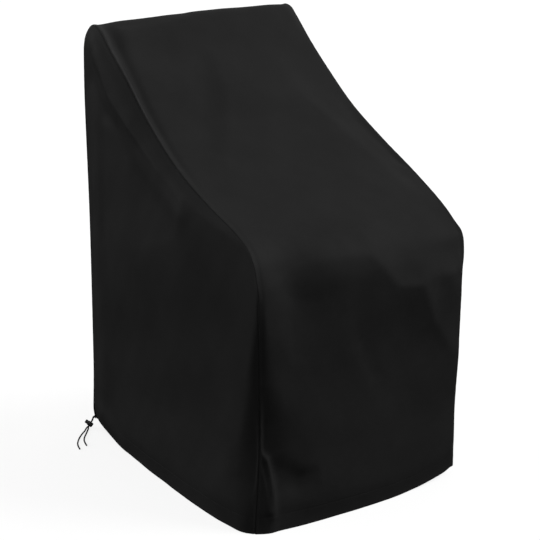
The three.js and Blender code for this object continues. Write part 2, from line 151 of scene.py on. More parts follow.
def moulded_plastic(shade):
    place = shade.node("TexCoord", out="Object")
    grain = shade.node("TexNoise", sockets={"Vector": place, "Scale": 2600, "Detail": 3})
    handled = shade.node("TexNoise", sockets={"Vector": place, "Scale": 240, "Detail": 2})
    colour = shade.node("Mix", {"data_type": "RGBA"}, {0: handled, 6: grey(0.007), 7: grey(0.012)}, out=2)
    normal = shade.node("Bump", sockets={"Height": grain, "Strength": 0.6, "Distance": 0.00003})
    return colour, 0.32 + 0.2 * handled, normal


plastic = finish_of("black_moulded_plastic", moulded_plastic, Specular_IOR_Level=0.35)


def turned(name, profile, slot_low, slot_high):
    """A form turned about +Y, with the cords' slot cut through it along Z from slot_low to slot_high."""
    form = bmesh.new()
    line = [form.verts.new((radius, height, 0)) for radius, height in profile]
    edges = [form.edges.new(pair) for pair in zip(line, line[1:])]
    bmesh.ops.spin(
        form, geom=line + edges, cent=(0, 0, 0), axis=(0, 1, 0), angle=2 * math.pi, steps=48,
        use_merge=True,
    )
    bmesh.ops.remove_doubles(form, verts=form.verts, dist=1e-4)
    bmesh.ops.recalc_face_normals(form, faces=form.faces)
    mesh = bpy.data.meshes.new(name)
    form.to_mesh(mesh)
    form.free()
    piece = bpy.data.objects.new(name, mesh)
    bpy.context.scene.collection.objects.link(piece)

    form = bmesh.new()
    bmesh.ops.create_cube(form, size=1)
    size = (lock_slot["across"], slot_high - slot_low, lock_slot["through"])
    bmesh.ops.scale(form, vec=size, verts=form.verts)
    bmesh.ops.translate(form, vec=(0, (slot_low + slot_high) / 2, 0), verts=form.verts)
    corners = [edge for edge in form.edges if abs(edge.verts[0].co.z - edge.verts[1].co.z) > 1]
    bmesh.ops.bevel(
        form, geom=corners, offset=lock_slot["corner"], segments=5, profile=0.5, affect="EDGES",
        material=-1,
    )
    cutter_mesh = bpy.data.meshes.new("slot")
    form.to_mesh(cutter_mesh)
    form.free()
    cutter = bpy.data.objects.new("slot", cutter_mesh)
    bpy.context.scene.collection.objects.link(cutter)
    cut = piece.modifiers.new("slot", "BOOLEAN")
    cut.operation, cut.object, cut.solver = "DIFFERENCE", cutter, "EXACT"
    slotted = bpy.data.meshes.new_from_object(piece.evaluated_get(bpy.context.evaluated_depsgraph_get()))
    piece.modifiers.clear()
    piece.data = slotted
    bpy.data.objects.remove(cutter)

    lock_frame = Matrix((lock_across, lock_axis, cord_way)).transposed().to_4x4()
    lock_frame.translation = lock_centre - CORDS_AT * lock_axis
    slotted.transform(Matrix.Scale(MM, 4) @ lock_frame)
    slotted.shade_smooth()
    slotted.set_sharp_from_angle(angle=math.radians(40))
    rim = piece.modifiers.new("worn edges", "BEVEL")
    rim.width, rim.segments = 0.2 * MM, 2
    rim.limit_method, rim.angle_limit = "ANGLE", math.radians(50)
    slotted.materials.append(plastic)
    return piece


slot_low, slot_high = CORDS_AT - lock_slot["along"] / 2, CORDS_AT + lock_slot["along"] / 2
barrel = turned("lock_barrel_moulding", barrel_profile, slot_low, slot_high)
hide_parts("lock_barrel")
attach(barrel, "cover")
button = turned("lock_button_moulding", button_profile, slot_low, slot_high + BUTTON_TRAVEL)
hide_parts("lock_button")
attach(button, "button")


# The drawcord's two free ends are of black braided polyester. They come out of the hem at the back left
# corner, run side by side through the lock and lie loose on the ground, and each tip is melted shut.
hem_exit = Vector((-341, 443, 31))
exit_way = Vector((-1.5, 2.5, -7))
IN_THE_HEM = Vector((4, -6, 5))  # from where a cord leaves the hem to its last place inside
exit_across = (lock_across - lock_across.project(exit_way)).normalized()
ON_GROUND = CORD / 2 + 1
loose_runs = {
    "cord_end_long": [
        (-367, 439), (-380, 423), (-402, 401), (-428, 369), (-444, 343), (-452, 322), (-457, 303),
    ],
    "cord_end_short": [
        (-363, 434), (-375, 417), (-389, 398), (-404, 378), (-415, 359), (-422, 340), (-428, 317),
    ],
}
STRAIGHT = 6.5  # how far the cords run straight, each way from the lock's axis
CORD_STEP = 0.3
# strands is how many run each way, lay is one turn of them, and relief is how far they stand out.
braid = {"strands": 8, "lay": 10.5, "relief": 0.3, "sides": 40}
MELTED = 4  # length of a melted tip
MELTED_RADIUS = 0.52 * CORD
WEAVE_OVER = 0.45  # how much higher the thread that lies on top stands
THREAD_ROUND = 0.6  # 1 is a round thread, and less is a flatter one


def unit(way):
    return way / np.linalg.norm(way, axis=-1, keepdims=True)


def smooth_curve(points):
    """A centripetal Catmull-Rom curve through points, as a function of a point's number or part of it."""
    points = np.array(points, float)
    padded = np.concatenate([[2 * points[0] - points[1]], points, [2 * points[-1] - points[-2]]])

    def at(number):
        number = np.clip(number, 0, len(points) - 1)
        k = np.clip(number.astype(int), 0, len(points) - 2)
        t = (number - k)[:, None]
        a, b, c, d = (padded[k + i] for i in range(4))
        g, h, i = (np.sum((q - p) ** 2, 1)[:, None] ** 0.25 for p, q in ((a, b), (b, c), (c, d)))
        start = h * ((b - a) / g - (c - a) / (g + h) + (c - b) / h)
        end = h * ((c - b) / h - (d - b) / (h + i) + (d - c) / i)
        square, cube = 3 * (c - b) - 2 * start - end, 2 * (b - c) + start + end
        return b + start * t + square * t**2 + cube * t**3

    return at


def run_lengths(points):
    """How far along a line of points each of them is."""
    return np.concatenate([[0], np.cumsum(np.linalg.norm(np.diff(points, axis=0), axis=1))])


def even_steps(points, step):
    """Points about a step apart along a line of points, and how far along it each is."""
    lengths = run_lengths(points)
    along = np.linspace(0, lengths[-1], round(lengths[-1] / step) + 1)
    return np.stack([np.interp(along, lengths, points[:, k]) for k in range(3)], 1), along


def weave(one, other):
    """The height of a plain weave, from 0 to 1, with a thread for each whole number both ways."""
    one, other = np.sin(np.pi * one), np.sin(np.pi * other)
    over, level = WEAVE_OVER * one * other, 1 - WEAVE_OVER
    one, other = np.abs(one) ** THREAD_ROUND, np.abs(other) ** THREAD_ROUND
    return np.maximum(one * (level + over), other * (level - over))


def grid_piece(name, places, texture, closed=False):
    """A piece from a grid of places, with flat places as its UV map. closed joins the edges that meet."""
    rows, columns = places.shape[:2]
    form = bmesh.new()
    bmesh.ops.create_grid(form, x_segments=columns - 1, y_segments=rows - 1, size=0.5)
    mesh = bpy.data.meshes.new(name)
    form.to_mesh(mesh)
    mesh.vertices.foreach_set("co", (places * MM).reshape(-1))
    corners = np.empty(len(mesh.loops), int)
    mesh.loops.foreach_get("vertex_index", corners)
    flat = (texture * MM).reshape(-1, 2)[corners]
    mesh.uv_layers.new(name="cloth").data.foreach_set("uv", flat.reshape(-1))
    if closed:
        form.clear()
        form.from_mesh(mesh)
        bmesh.ops.remove_doubles(form, verts=form.verts, dist=1e-7)
        bmesh.ops.recalc_face_normals(form, faces=form.faces)
        form.to_mesh(mesh)
    form.free()
    mesh.shade_smooth()
    piece = bpy.data.objects.new(name, mesh)
    bpy.context.scene.collection.objects.link(piece)
    return piece


def cord_route(name, hand):
    beside = lock_across * hand * CORD_PITCH / 2
    start = hem_exit + exit_across * hand * CORD_PITCH / 2
    in_lock = [lock_centre + cord_way * along + beside for along in (-STRAIGHT, 0, STRAIGHT)]
    ground = [(x, y, ON_GROUND) for x, y in loose_runs[name]]
    points = [start + IN_THE_HEM, start, start + exit_way, *in_lock, *ground]
    return even_steps(smooth_curve(points)(np.linspace(0, len(points) - 1, 4000)), CORD_STEP)


def braided(name, route, along):
    way = unit(np.gradient(route, axis=0))
    side = np.cross(way[0], lock_axis)
    sides = []
    for direction in way:
        side = unit(side - direction * (side @ direction))
        sides.append(side)
    sides = np.array(sides)[:, None]
    ups = np.cross(way, sides[:, 0])[:, None]
    turn = np.linspace(0, 1, braid["sides"] + 1)
    around = braid["strands"] * turn
    forward = braid["strands"] * along[:, None] / braid["lay"]
    relief = braid["relief"] * weave(around + forward, around - forward)
    melted = np.clip(1 - (along[-1] - along) / MELTED, 0, 1)[:, None] ** 0.5
    tip = np.clip(np.minimum(along, along[-1] - along) / (CORD / 2), 0, 1)[:, None]
    radius = (CORD / 2 - braid["relief"] + relief) * (1 - melted) + MELTED_RADIUS * melted
    radius = (radius * np.sqrt(1 - (1 - tip) ** 2))[..., None]
    angle = (2 * np.pi * turn)[None, :, None]
    places = route[:, None] + radius * (np.cos(angle) * sides + np.sin(angle) * ups)
    texture = np.stack(np.broadcast_arrays(np.pi * CORD * turn, along[:, None]), -1)
    return grid_piece(name, places, texture, closed=True)


def braided_polyester(shade):
    flat = shade.node("UVMap", {"uv_map": "cloth"})
    filaments = shade.node("TexNoise", sockets={"Vector": flat, "Scale": 5200, "Detail": 2})
    dust = shade.node("TexNoise", sockets={"Vector": flat, "Scale": 160, "Detail": 3})
    tone = 0.4 * filaments + 0.6 * dust
    colour = shade.node("Mix", {"data_type": "RGBA"}, {0: tone, 6: grey(0.004), 7: grey(0.012)}, out=2)
    normal = shade.node("Bump", sockets={"Height": filaments, "Strength": 0.7, "Distance": 0.00005})
    return colour, 0.62 + 0.2 * dust, normal


polyester_cord = finish_of("black_braided_polyester", braided_polyester, Specular_IOR_Level=0.25)

for name, hand in (("cord_end_long", -1), ("cord_end_short", 1)):
    route, along = cord_route(name, hand)
    cord = braided(name + "_braid", route, along)
    cord.data.materials.append(polyester_cord)
    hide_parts(name)
    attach(cord, "cover")


# The centre strip is one length of black coated polyester, from the front hem over the nose, the slope and
# the roof to the back hem. Its long edges are felled over the sides' edges and sewn down, and each end is
# turned up inside into a casing for the drawcord.
WIDTH = 655  # across the cover, from side seam to side seam
CLOTH = 0.9
LAP = 0.4  # how far the strip's turned-down edge stands off the side panel that it laps over

# The side seam as (place, left, right, crown). left and right are (inset, y, z, round), where inset is how
# far the seam is drawn in from half the width and round is how broadly the cloth rounds off towards it.
# crown is how far the strip stands proud midway between the seams.
seam_table = [
    ("front foot", (-26, -469, 0, 90), (-6, -405, 0, 0), 0),
    ("front low", (-9, -462, 200, 100), (-2, -423, 200, 20), 10),
    ("front middle", (-5, -461, 430, 55), (2, -433, 420, 10), 7),
    ("front high", (-1, -457, 610, 15), (5, -435, 590, 0), 7),
    ("under the nose", (0, -449, 680, 0), (4, -438, 655, 0), 3),
    ("nose", (0, -433, 722, 0), (2, -427, 698, 0), -2),
    ("over the nose", (0, -400, 753, 10), (1, -393, 730, 10), 2),
    ("slope foot", (0, -345, 779, 10), (0, -341, 763, 10), 6),
    ("slope low", (0, -224, 818, 10), (0, -217, 824, 10), 6),
    ("slope middle", (0, -63, 884, 10), (0, -65, 890, 10), 6),
    ("slope high", (0, 84, 976, 10), (0, 82, 962, 10), 3),
    ("slope upper", (0, 208, 1077, 12), (0, 206, 1045, 10), 3),
    ("slope top", (1, 303, 1147, 12), (1, 300, 1117, 10), 6),
    ("roof front", (5, 358, 1185, 12), (4, 362, 1175, 10), 6),
    ("roof middle", (8, 398, 1199, 12), (3, 402, 1203, 10), 7),
    ("roof corner", (8, 431, 1192, 10), (5, 431, 1204, 10), 7),
    ("back top", (-4, 441, 1162, 10), (0, 441, 1174, 10), 6),
    ("back high", (-9, 442, 1060, 8), (-5, 442, 1060, 0), 5),
    ("back middle", (-5, 441, 620, 8), (-3, 441, 620, 0), 4),
    ("back low", (-8, 441, 200, 12), (-3, 441, 200, 10), 2),
    ("back foot", (-10, 438, 0, 0), (-8, 438, 0, 0), 0),
]
SEAM_STANDS = 3.2  # how far the sewn edges stand proud
SEAM_WIDE = 20  # how broadly the seam stiffens the cloth
ROUND_DEPTH = 0.22  # of a rounded edge, as a share of its round
FLUSH_ROUND = 35  # the round at which the sewn edge no longer stands proud
STRIP_ROUND_WIDE, SIDE_ROUND_WIDE = 1.0, 0.8  # how far it reaches in, as shares of its round

# How far each side of the hem bows out between its corners. lead moves the fullest place towards the first
# corner, and blunt squares the bow off.
hem_bow = {
    "left": {"out": 23.5, "lead": 0.58, "blunt": 1},
    "right": {"out": 40.4, "lead": 0.7, "blunt": 0.9},
    "front": {"out": 25, "lead": 1.16, "blunt": 0.56},
    "back": {"out": 40, "lead": 1, "blunt": 0.7},
}
BOW_FADE = 1.3

# The drawcord gathers the corners and lifts them off the ground: (x, y, lift, wide).
corner_lifts = [
    (331, -402, 18, 130), (336, -398, 8, 30), (-337, 438, 28, 145), (-337, 438, 3, 40), (335, 438, 14, 90),
]
LIFT_FADE = 320  # the height at which nothing of a lift is left
# Its two ends pull the back left corner of the hem in.
exit_pull = {"at": (-337, 438, 30), "by": (3, -5), "wide": 28, "high": 20}
# How far the cloth swells out above the casing, which the drawcord draws in, and where that is fullest.
DRAWN_IN, DRAWN_FULL, DRAWN_FADE = 6, 75, 160
UNEVEN = 0.6

# The casing in section, from its raw edge inside to the outside of the fold, as (above the hem, depth).
casing = [
    (52, 1.95), (48, 1.95), (45, 1.95), (42, 2.5), (38, 3.2), (30, 3.6), (22, 3.7), (15, 3.8), (9, 3.9),
    (5, 3.9), (2.2, 3.8), (0.9, 3.35), (0.25, 2.6), (0, 1.9), (0.25, 1.2), (0.9, 0.5),
]
CASING_DEPTH = 3.9
FLAT_TURN = 12  # how far the flat cloth runs on for each millimetre that it turns inwards
CASING_STITCH = 46  # how far above the hem the casing is sewn
FELL_STITCH = 7  # how far in from the strip's edge the seam is sewn down
FELL_WIDE, FELL_THICK = 9, 0.6  # the flat band of the felled seam
PUCKER = 0.25
fell_groove = {"deep": 0.4, "wide": 1.1}  # the line of stitches pulled into the seam
casing_groove = {"deep": 0.3, "wide": 1.6}
UPRIGHT_STEPS, SLOPE_STEPS, ACROSS_STEPS = 70, 120, 62  # of the strip's cloth away from its edges
near_hem = [2.2, 5, 9, 14, 20, 26, 32, 37, 41, 43.5, 45, 46, 47, 48.5, 51, 55, *range(60, 225, 7)]
near_seam = [0, 3, 7, 12, 18, 24]
near_sides = [0, 0, 0.15, 0.6, 1.4, 2.5, 3.7, 5, 6, 7, 8, 9, 10, 11.5, 14, 17, 21, 26, 32, 39, 47, 57, 68]
turned_down = [3, 1.5, 0.7, 0.2]  # how far the strip's first places are turned down over the side's edge

# Folds, as (name, half widths, heights, lee, crest, points). The widths and heights are spread evenly along
# the line through the points, and a height below 0 is a trough. lee is how much broader the fold is on the
# left of its line. crest is how roundly a crease turns on it, or 0 for a soft fold. A point is (x, run) on
# the strip, where run is the length of cloth from the front hem, and (y, z) on a side.
strip_folds = [
    ("edge of the seat", [215, 190, 172, 148, 200], [10, 15, 24, 25, 26, 25, 27, 22], 0.6, 5,
     [(-229, 686), (-158, 702), (-54, 697), (11, 691), (88, 605), (167, 595), (206, 494), (282, 392)]),
    ("left of the seat", [52, 44, 18], [-17, -11, 0], 1.7, 0, [(-245, 689), (-218, 608), (-226, 450)]),
    ("right of the seat", [120], [15, 25, 16], 0.32, 0, [(223, 606), (271, 602), (324, 615)]),
    ("drag across the front", [28, 22], [0, -3, -2], 1.5, 0, [(-50, 610), (-20, 470), (15, 380)]),
    ("right of the slope", [195], [4, 11, 12, 11, 11, 11, -4], 0.25, 0,
     [(156, 1422), (175, 1297), (198, 1198), (217, 1100), (227, 1000), (232, 898), (256, 792)]),
    ("beside the right seam", [16], [0, -2, -3], 1, 0, [(298, 1400), (300, 1200), (310, 1000)]),
    ("rise in the slope", [30, 52, 52, 52, 52, 52], [2, 15, 17, 14, 11, 8], 4.5, 0,
     [(-14, 1560), (-40, 1403), (-58, 1345), (-103, 1264), (-135, 1196), (-172, 1145)]),
    ("lesser rise", [29], [3, 1], 2, 0, [(-109, 1590), (-169, 1380)]),
    ("left shoulder", [34, 18], [3, 0], 1, 0, [(-270, 1650), (-282, 1480)]),
    ("hollow along the left seam", [20, 14, 10, 9], [-5, -7, -5, -3, -1], 1, 0,
     [(-290, 1690), (-300, 1590), (-309, 1400), (-312, 1200), (-314, 1050)]),
    ("under the roof's edge", [22, 18], [-4, -3], 1, 0, [(-250, 1672), (-30, 1694)]),
    ("outer gather", [8, 10, 11, 11, 12], [6, 8, 8, 6, 3], 1, 0,
     [(-331, 214), (-312, 196), (-298, 150), (-297, 100), (-293, 45)]),
    ("valley by the gather", [15], [-4, -12, -14, -12, -6], 4, 0,
     [(-293, 203), (-283, 157), (-272, 108), (-273, 60), (-274, 15)]),
    ("pocket by the gather", [50, 40], [-4, -13, 0], 0.6, 0, [(-262, 160), (-216, 132), (-155, 140)]),
    ("hollow by the front seam", [30, 85, 100], [-1, -11, -9, -2], 1, 0,
     [(-330, 400), (-318, 240), (-315, 60)]),
    ("inner gather", [6, 8], [3, 4], 1, 0, [(-330, 173), (-321, 120), (-311, 60)]),
]


def stations(length, near_start, steps, near_end):
    """Lengths along an edge: those near its start, even steps, and those near its end, from that end."""
    length = np.asarray(length, float)[..., None]
    first, last = near_start[-1], length - near_end[-1]
    between = first + (last - first) * np.arange(1, steps) / steps
    start = np.broadcast_to(near_start, length.shape[:-1] + (len(near_start),))
    return np.concatenate([start, between, length - near_end[::-1]], -1)


def blend(start, end, share):
    return start + (end - start) * share


def swell(value):
    """From 0 to 1 with a soft start and end."""
    value = np.clip(value, 0, 1)
    return value * value * (3 - 2 * value)


def fade(away, wide):
    """1 at a seam, and softly down to 0 where wide ends."""
    return np.where(wide > 0, swell(1 - away / np.maximum(wide, 1e-9)), 0)


def hump(away, wide):
    return np.exp(-((away / wide) ** 2))


def edge(away, rounding, wide):
    """How far a panel stands proud beside a seam: its sewn edge does, on a corner that is rounded off."""
    rounding = np.maximum(rounding, 0)
    stands = SEAM_STANDS * np.maximum(0, 1 - rounding / FLUSH_ROUND) * hump(away, FELL_WIDE)
    near = np.maximum(0, 1 - away / np.maximum(wide * rounding, 1e-9))
    return stands - ROUND_DEPTH * rounding * near**2


def bow(form, share):
    return form["out"] * np.maximum(0, np.sin(np.pi * share ** form["lead"])) ** form["blunt"]


def spread(values, share):
    """A value for each share of a line that the values are spread evenly along."""
    return np.interp(share, np.linspace(0, 1, len(values)), values)


def fold_height(table, a, b):
    """The folds' height at the places (a, b), by how far away each one's line is and on which side."""
    height = np.zeros(a.shape)
    for _, widths, heights, lee, crest, points in table:
        legs = []
        for k, (start, end) in enumerate(zip(points, points[1:])):
            da, db = end[0] - start[0], end[1] - start[1]
            part = np.clip(((a - start[0]) * da + (b - start[1]) * db) / (da * da + db * db), 0, 1)
            from_a, from_b = a - start[0] - part * da, b - start[1] - part * db
            away = np.hypot(from_a, from_b) + 1e-3
            left = (da * from_b - db * from_a) / (math.hypot(da, db) * away)
            legs.append(np.stack([away, (k + part) / (len(points) - 1), left]))
        legs = np.stack(legs)
        counts = (legs[:, 0].min(0) / legs[:, 0]) ** 8  # the nearest leg counts for most
        away, share, left = (legs * counts[:, None]).sum(0) / counts.sum(0)
        wide = spread(widths, share) * blend(1, lee, (1 + left) / 2)
        form = np.exp((crest - np.hypot(away, crest)) / wide) if crest else hump(away, wide)
        height += spread(heights, share) * form
    return height


def unevenness(a, b):
    """The slight waves that sewn cloth never loses, in long soft runs that cross."""
    waves = [  # (height, length along a, length along b, start)
        (0.9, 610, 190, 0.3), (0.7, -250, 420, 1.9), (0.5, 170, 560, 4.1), (0.35, 118, -235, 2.6),
        (0.2, 83, 140, 5.2),
    ]
    return sum(
        high * np.sin(2 * np.pi * (a / long_a + b / long_b) + start) for high, long_a, long_b, start in waves
    )


def drawn_in(above):
    """The swell of the cloth above the casing, from 0 to 1."""
    return swell(above / DRAWN_FULL) * fade(above - DRAWN_FULL, DRAWN_FADE)


def outwards(tangent):
    """Out of the strip, square to the way its cloth runs."""
    return unit(np.stack([np.zeros(tangent.shape[:-1]), -tangent[..., 2], tangent[..., 1]], -1))


def lifted(places):
    """The cloth stands on the ground, except where the drawcord lifts a corner."""
    places[..., 2] = np.maximum(places[..., 2], 0)
    for x, y, lift, wide in corner_lifts:
        near = hump(np.hypot(places[..., 0] - x, places[..., 1] - y), wide)
        places[..., 2] += lift * near * np.maximum(0, 1 - places[..., 2] / LIFT_FADE)
    x, y, z = np.moveaxis(places - exit_pull["at"], -1, 0)
    near = hump(np.hypot(x, y), exit_pull["wide"]) * hump(z, exit_pull["high"])
    places[..., :2] += near[..., None] * exit_pull["by"]
    return places


def seam(side, hand):
    """What a seam is like by its run, and its runs at the nose, at the roof's corner and at its end."""
    rows = [row[side] for row in seam_table]
    curve = smooth_curve([(hand * (WIDTH / 2 - inset), y, z) for inset, y, z, _ in rows])
    form = smooth_curve([(k, row[3], seam_table[k][3]) for k, row in enumerate(rows)])
    per_row = 50
    number = np.linspace(0, len(rows) - 1, per_row * (len(rows) - 1) + 1)
    lengths = run_lengths(curve(number))
    nose, roof = (
        lengths[per_row * [row[0] for row in seam_table].index(place)] for place in ("nose", "roof corner")
    )

    def at(run):
        k = np.interp(run, lengths, number)
        _, rounding, crown = form(k).T
        return {
            "run": run, "point": curve(k), "tangent": unit(curve(k + 0.002) - curve(k - 0.002)),
            "round": rounding, "crown": crown,
        }

    return at, nose, roof, lengths[-1]


def seam_runs(nose, roof, total):
    """The rows of a seam up the front, over the slope and up the back, each from the hem or the nose on."""
    front = stations(nose, near_hem, UPRIGHT_STEPS, near_seam)
    slope = nose + stations(roof - nose, near_seam, SLOPE_STEPS, near_seam)
    return front, slope, total - stations(total - roof, near_hem, UPRIGHT_STEPS, near_seam)


def strip_rows(nose, roof, total):
    """The rows of the strip, with those of the casings at both ends, as runs and depths."""
    front, slope, back = seam_runs(nose, roof, total)
    above, depth = np.array(casing).T
    outside = np.concatenate([front, slope[1:], back[-2::-1]])
    return np.concatenate([above, outside, total - above[::-1]]), depth, len(outside)


seams = {"left": seam(1, -1), "right": seam(2, 1)}
left_run, depth, outer_rows = strip_rows(*seams["left"][1:])
right_run = strip_rows(*seams["right"][1:])[0]
depth = np.concatenate([depth, np.zeros(outer_rows), depth[::-1]])[:, None]
left, right = seams["left"][0](left_run), seams["right"][0](right_run)
_, nose, roof, total = seams["left"]

start, end = left["point"] - (CLOTH + LAP, 0, 0), right["point"] + (CLOTH + LAP, 0, 0)
width = end[:, 0] - start[:, 0]
across = stations(width, near_sides, ACROSS_STEPS, near_sides)
share = across / width[:, None]
tangent = blend(left["tangent"][:, None], right["tangent"][:, None], share[..., None])
places = blend(start[:, None], end[:, None], share[..., None])
run = blend(left_run[:, None], right_run[:, None], share)
proud = left["crown"][:, None] * (1 - (2 * share - 1) ** 2)
height_shares = {"front": left_run / nose, "back": (total - left_run) / (total - roof)}
for end_of_strip, low in height_shares.items():
    proud += bow(hem_bow[end_of_strip], share) * np.maximum(0, 1 - low[:, None]) ** BOW_FADE
inset = np.minimum(across, width[:, None] - across)
free = 1 - fade(inset, SEAM_WIDE)
above_hem = np.minimum(left_run, total - left_run)[:, None]
proud += free * (fold_height(strip_folds, places[..., 0], run) + UNEVEN * unevenness(places[..., 0], run))

# The seam's two thicknesses stand up as a flat band with a line of stitches pulled into it. The band puckers
# a little between the stitches.
pucker = PUCKER * np.sin(run / 5.3 + 1.7 * np.sin(run / 61)) * np.sin(run / 37 + 1)
proud += (FELL_THICK + pucker) * swell((FELL_WIDE + 1 - inset) / 3)
proud -= fell_groove["deep"] * hump(inset - FELL_STITCH, fell_groove["wide"])
proud += DRAWN_IN * free * drawn_in(above_hem)
proud -= casing_groove["deep"] * hump(above_hem - CASING_STITCH, casing_groove["wide"]) * (depth == 0)
proud[:, :len(turned_down)] -= turned_down
proud[:, -len(turned_down):] -= turned_down[::-1]
left_edge = edge(across, left["round"][:, None], STRIP_ROUND_WIDE)
right_edge = edge(width[:, None] - across, right["round"][:, None], STRIP_ROUND_WIDE)
places += outwards(tangent) * (proud + left_edge + right_edge - depth)[..., None]
places[..., 0] += right_edge - left_edge
strip_places = lifted(places)
turned_in = FLAT_TURN * np.where(run < total / 2, depth, -depth)
strip_flat = np.stack([across, np.broadcast_to(run - turned_in, across.shape)], -1)
strip = grid_piece("centre_strip_cloth", strip_places, strip_flat)


THREAD = 0.00055  # from thread to thread, in metres as in the UV map


def coated_cloth(shade):
    """Polyester in a plain weave of half-millimetre threads, coated black, paler where worn and with a
    painted highlight along the strip's seams up the slope.
    """
    flat = shade.node("UVMap", {"uv_map": "cloth"})
    place = shade.node("TexCoord", out="Object")
    along = shade.node("SeparateXYZ", sockets={0: flat})
    up = Shade(shade.tree, along.socket.node.outputs["Y"])
    one = along.maths("SINE", along * (math.pi / THREAD))
    other = up.maths("SINE", up * (math.pi / THREAD))
    over, level = WEAVE_OVER * one * other, 1 - WEAVE_OVER
    threads = over.maths("MAXIMUM", abs(one) * (level + over), abs(other) * (level - over))
    slubs = shade.node("TexNoise", sockets={"Vector": flat, "Scale": 900, "Detail": 2})
    bloom = shade.node("TexNoise", sockets={"Vector": place, "Scale": 5, "Detail": 4, "Roughness": 0.6})
    scuffs = shade.node("TexNoise", sockets={"Vector": place, "Scale": 70, "Detail": 4, "Roughness": 0.7})
    # Paler with wear along the seams and the hem's fold, plus a painted highlight on the strip's seams up
    # the slope.
    rubbed = shade.node("Attribute", {"attribute_name": "rubbed"}, out="Fac")
    tone = 0.55 + 0.5 * bloom + 0.25 * scuffs + 0.25 * threads - 0.1 * slubs
    tone = tone + rubbed * (0.1 + 0.5 * scuffs)
    colour = shade.node(
        "Mix", {"data_type": "RGBA", "clamp_factor": False}, {0: tone, 6: grey(0), 7: grey(0.0133)}, out=2,
    )
    relief = threads * (0.8 + 0.4 * slubs)
    normal = shade.node("Bump", sockets={"Height": relief, "Strength": 0.5, "Distance": 0.00006})
    return colour, 0.5 + 0.12 * scuffs + 0.1 * bloom, normal


strip_cloth, side_cloth = (
    finish_of(name, coated_cloth, Specular_IOR_Level=0.02)
    for name in ("black_coated_polyester", "black_coated_polyester_sides")
)


def finish_panel(piece, node, material, rubbed):
    """Gives a panel its thickness inwards, its finish and what the frame has to know of it."""
    piece.data.attributes.new("rubbed", "FLOAT", "POINT").data.foreach_set("value", rubbed.reshape(-1))
    solid = piece.modifiers.new("cloth", "SOLIDIFY")
    solid.thickness, solid.offset = CLOTH * MM, -1
    piece.data.materials.append(material)
    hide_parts(node)
    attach(piece, "cover")


# The seams are worn a little paler, and the strip's seams carry a painted highlight, strongest from the
# middle of the slope to the roof and broadest near the roof. The fold of the hem is worn paler too.
highlight_up_the_slope = swell((left_run - 1000) / 450) * swell((roof + 60 - left_run) / 60)
seam_wear_and_highlight = (0.3 + 1.6 * highlight_up_the_slope)[:, None]
wear_and_highlight_wide = (4 + 9 * swell((left_run - 1450) / 250))[:, None]
HEM_RUBBED, HEM_RUBBED_WIDE = 0.5, 4
strip_wear_and_highlight = seam_wear_and_highlight * hump(inset - 4, wear_and_highlight_wide) * (depth == 0)
strip_wear_and_highlight += HEM_RUBBED * hump(above_hem, HEM_RUBBED_WIDE)
finish_panel(strip, "centre_strip", strip_cloth, strip_wear_and_highlight)


# Each side panel is cut from the same cloth, straight along the front, the back and the foot and curved
# along the slope. The strip's edges are felled over its edges, and its foot is turned up into the casing.
side_folds = {
    "left": [
        ("ridge below the seam", [26, 34], [4, 8, 9, 8, 6, 8], 1.2, 0,
         [(356, 1114), (287, 1041), (230, 986), (168, 947), (118, 897), (-125, 787)]),
        ("crease below the seam", [8, 12], [3, 4.5, 4.5, 4, 4, 3, 2], 0.8, 0,
         [(382, 1115), (315, 1073), (276, 1027), (222, 997), (151, 957), (5, 876), (-130, 815)]),
        ("shoulder below the seam", [24], [2, 5, 7, 7, 5], 0.9, 0,
         [(4, 872), (89, 923), (214, 1021), (306, 1097), (387, 1151)]),
        ("trough under the roof", [25, 23], [-3, -6, -1], 1, 0, [(389, 1045), (317, 969), (208, 942)]),
        ("tent over the arm", [165], [10, 14, 16, 15], 3, 0,
         [(-14, 780), (-110, 725), (-101, 614), (-62, 461)]),
        ("under the tent", [150], [13, 17, 10], 1.3, 0, [(-85, 670), (110, 611), (223, 562)]),
        ("back edge", [44, 50], [4, 7, 7, 6], 0.9, 0, [(370, 1000), (366, 800), (358, 500), (356, 146)]),
        ("band by the back", [24], [-1, -2], 1, 0, [(318, 900), (318, 610)]),
        ("hem's last gather", [40, 26], [8, 4], 1, 0, [(353, 50), (228, 20)]),
        ("pull to the corner", [26, 50, 72], [-2, -10, -14, -5], 1, 0,
         [(-440, 340), (-436, 190), (-425, 20)]),
    ],
    "right": [
        ("tent over the arm", [55, 40], [5, 4], 1, 0, [(-30, 770), (90, 630), (200, 540)]),
        ("arm", [50, 40], [4, 1], 1, 0, [(-30, 770), (-330, 690)]),
        ("back edge", [18, 22], [2, 3], 1, 0, [(405, 980), (405, 260)]),
    ],
}
CASING_CORNER = 5  # how far a side's turned-up foot keeps clear of the strip's at both ends
TUCKED, TUCKED_WIDE = 1.5, 6  # how a side's edge dips under the strip's


